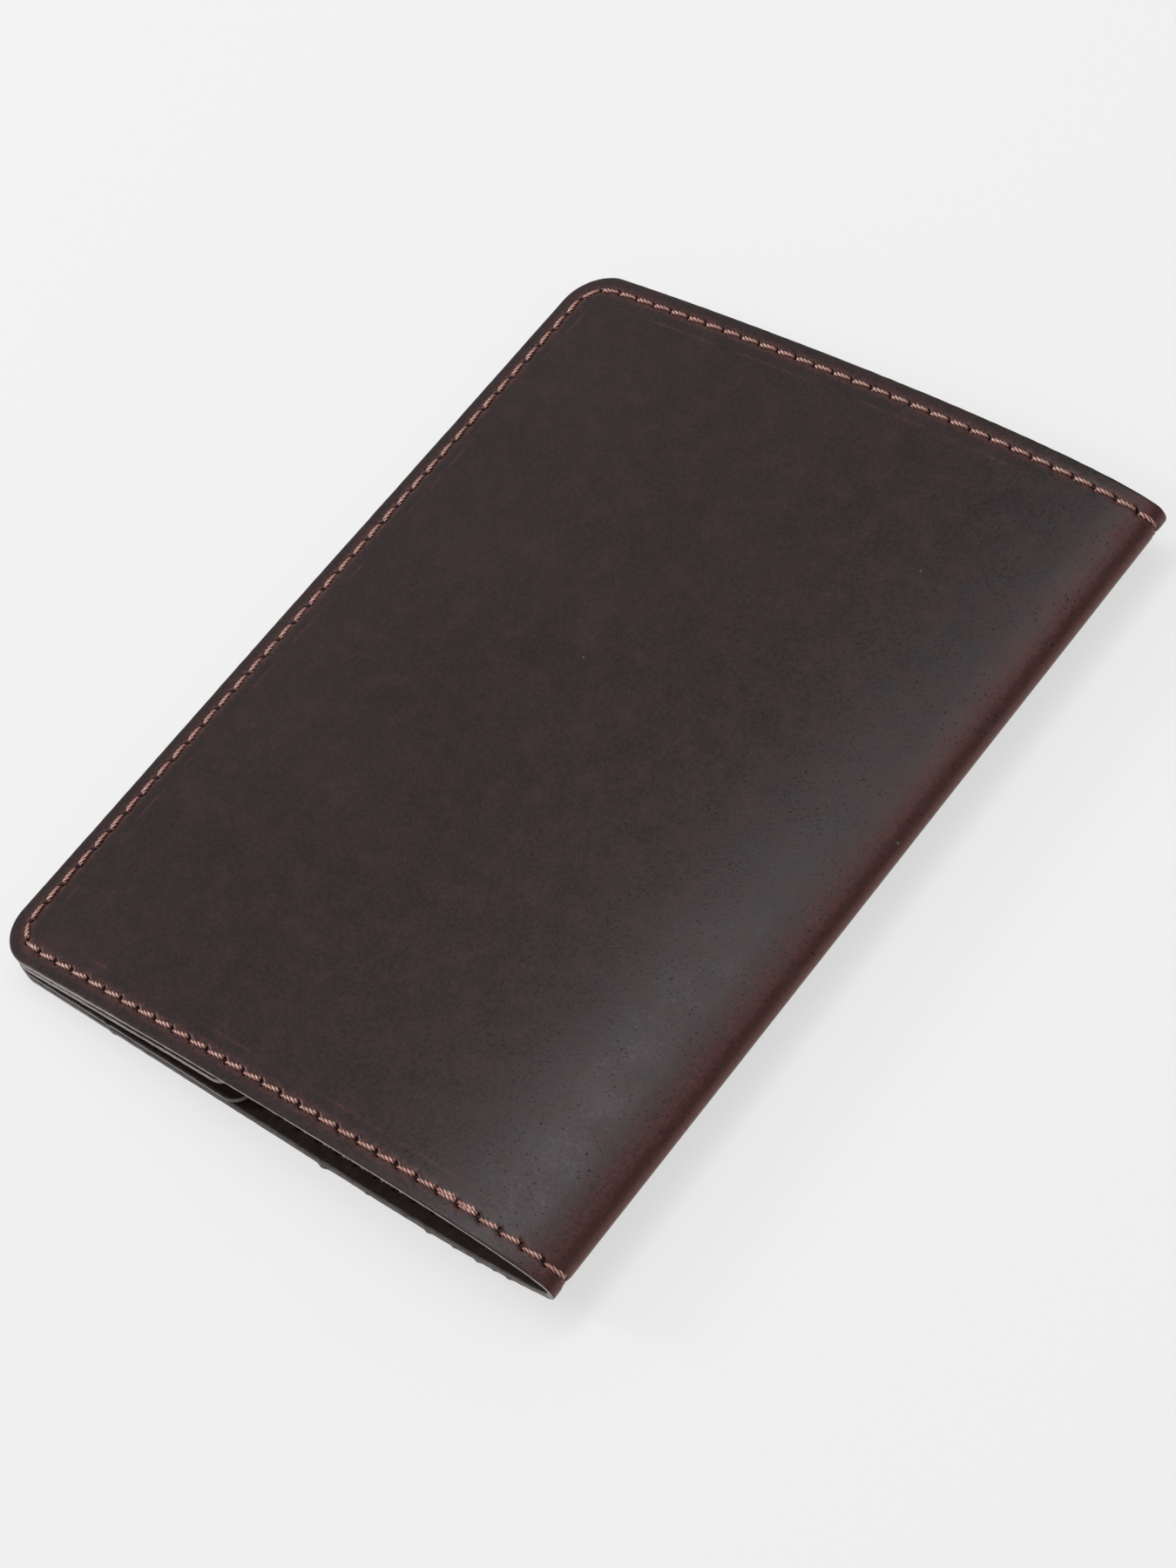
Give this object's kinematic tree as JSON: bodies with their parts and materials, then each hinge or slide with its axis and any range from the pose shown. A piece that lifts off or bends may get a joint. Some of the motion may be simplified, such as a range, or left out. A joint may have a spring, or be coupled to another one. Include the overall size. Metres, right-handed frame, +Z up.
{
  "type": "passport holder",
  "caption": "Leather passport holder: a cover folded at the spine like a book, with a stitched pocket flap inside each half for a passport's covers.",
  "frame": {"origin": "on the resting face, under the middle of the closed holder", "axes": "+Z up out of the front cover, +Y towards the head, +X towards the fore-edge, with the spine at -X"},
  "size_m": [0.105, 0.14, 0.0113],
  "materials": {
    "leather": "dark brown waxed pull-up leather with raw cut edges, satin",
    "thread": "twisted tan thread with a slight sheen"
  },
  "bodies": {
    "back_half": {"back_cover": "leather", "back_pocket_flap": "leather", "back_seam_thread": "thread"},
    "spine": {"spine_fold": "leather", "spine_seam_thread_head": "thread", "spine_seam_thread_tail": "thread"},
    "front_half": {"front_cover": "leather", "front_pocket_flap": "leather", "front_seam_thread": "thread"}
  },
  "joints": [
    {"name": "back_fold", "type": "hinge", "parent": "back_half", "child": "spine", "pos_m": [-0.05155, 0, 0.00545], "axis": [0, -1, 0], "range_deg": [0, 90]},
    {"name": "front_fold", "type": "hinge", "parent": "spine", "child": "front_half", "pos_m": [-0.05155, 0, 0.00815], "axis": [0, -1, 0], "range_deg": [0, 90]}
  ],
  "couplings": [
    {"joint": "back_fold", "follows": "front_fold", "ratio": 1}
  ]
}
